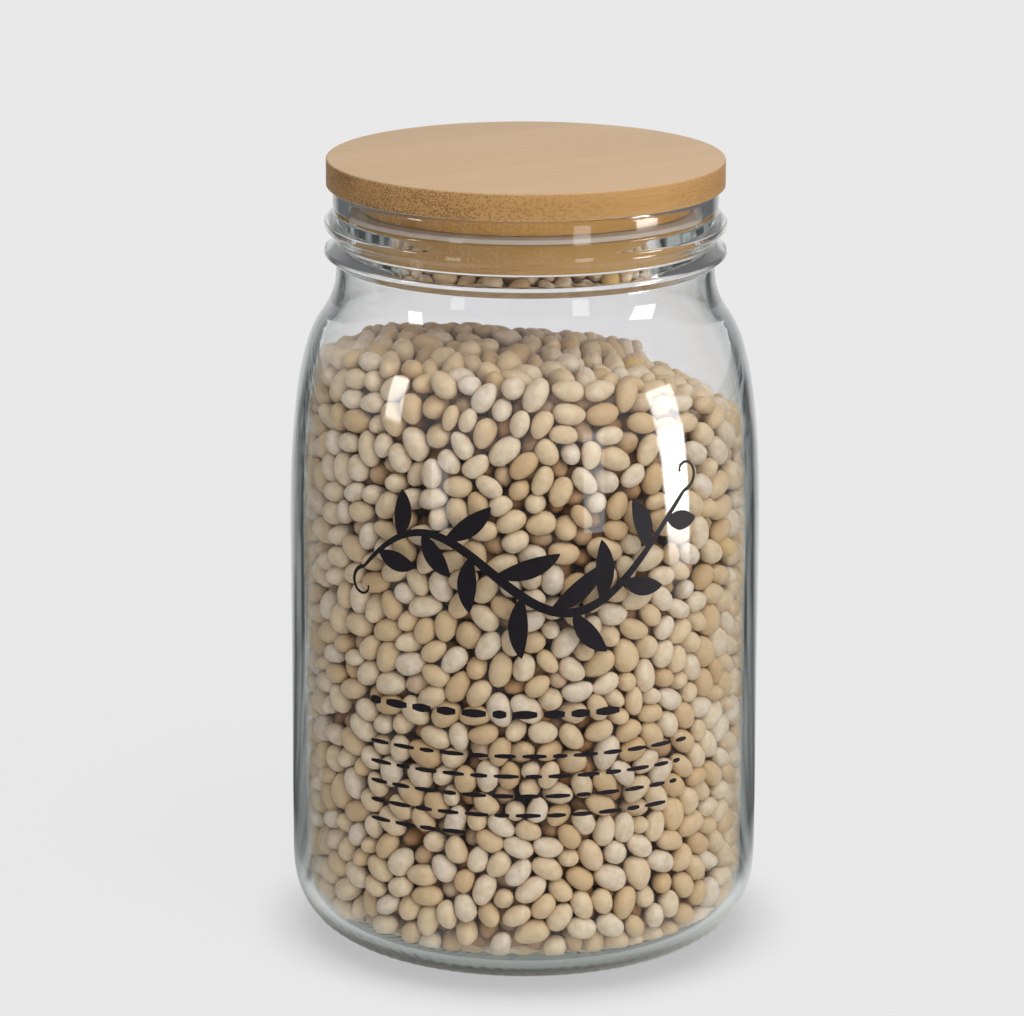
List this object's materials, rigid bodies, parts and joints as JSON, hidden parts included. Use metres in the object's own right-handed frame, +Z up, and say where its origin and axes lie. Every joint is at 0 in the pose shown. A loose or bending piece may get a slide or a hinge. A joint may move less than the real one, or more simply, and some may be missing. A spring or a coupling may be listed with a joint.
{
  "type": "mason jar",
  "caption": "Clear glass storage jar with a ringed wide mouth, rounded shoulders and a push-in bamboo lid sealed by a silicone ring; the lid lifts off.",
  "frame": {"origin": "centre of the jar's base, on the surface it stands on", "axes": "+Z up along the jar's axis; +X to the right and +Y away, seen from the front"},
  "size_m": [0.1196, 0.1196, 0.201],
  "materials": {
    "glass": "clear soda-lime glass, faintly grey-green where it is thick, fire-polished",
    "bamboo": "light natural laminated bamboo, finely sanded, thin matt oil; darker end grain at the edge",
    "silicone": "translucent pale grey silicone, satin"
  },
  "bodies": {
    "jar": {"glass_jar": "glass"},
    "lid": {"lid_flange_strip_1": "bamboo", "lid_flange_strip_2": "bamboo", "lid_flange_strip_3": "bamboo", "lid_flange_strip_4": "bamboo", "lid_flange_strip_5": "bamboo", "plug_upper_strip_1": "bamboo", "plug_upper_strip_2": "bamboo", "plug_upper_strip_3": "bamboo", "plug_upper_strip_4": "bamboo", "plug_upper_strip_5": "bamboo", "plug_lower_strip_1": "bamboo", "plug_lower_strip_2": "bamboo", "plug_lower_strip_3": "bamboo", "plug_lower_strip_4": "bamboo", "plug_lower_strip_5": "bamboo", "silicone_seal": "silicone"}
  },
  "joints": [
    {"name": "lid_lift", "type": "slide", "parent": "jar", "child": "lid", "axis": [0, 0, 1], "range_m": [0, 0.06]}
  ]
}
